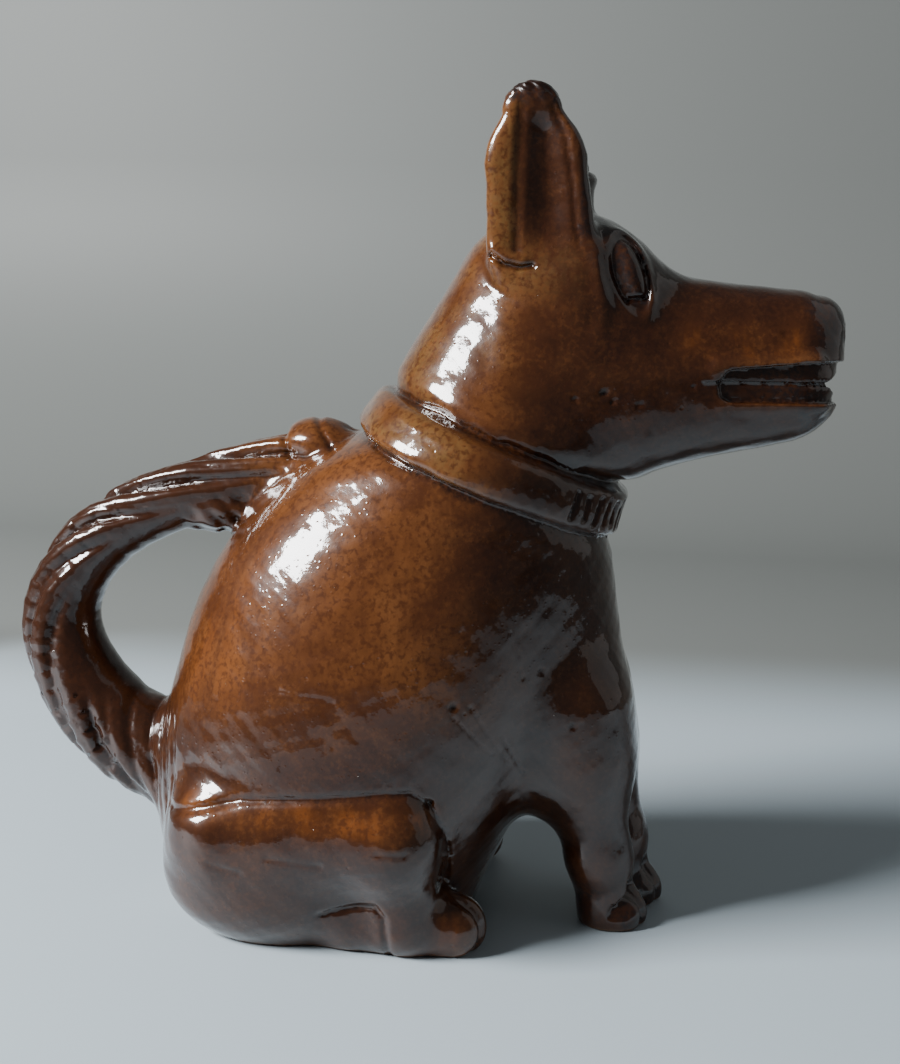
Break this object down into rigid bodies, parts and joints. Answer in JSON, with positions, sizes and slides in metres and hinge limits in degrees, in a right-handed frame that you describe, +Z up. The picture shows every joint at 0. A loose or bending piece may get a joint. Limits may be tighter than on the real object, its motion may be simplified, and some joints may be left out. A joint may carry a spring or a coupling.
{
  "type": "dog pitcher",
  "caption": "Glazed earthenware pitcher shaped as a sitting dog: filled through a neck between the ears, poured through the parted mouth, held by the raised tail.",
  "frame": {"origin": "on the ground under the middle of the body's flat underside", "axes": "+X towards the dog's nose, +Y to the dog's left, +Z up"},
  "size_m": [0.2897, 0.1362, 0.2899],
  "materials": {
    "amber_glaze": "thick glossy amber-brown lead glaze on fired earthenware, darker where it pools, thin and ochre on raised edges"
  },
  "bodies": {
    "root": {"dog_pitcher": "amber_glaze"}
  },
  "joints": []
}
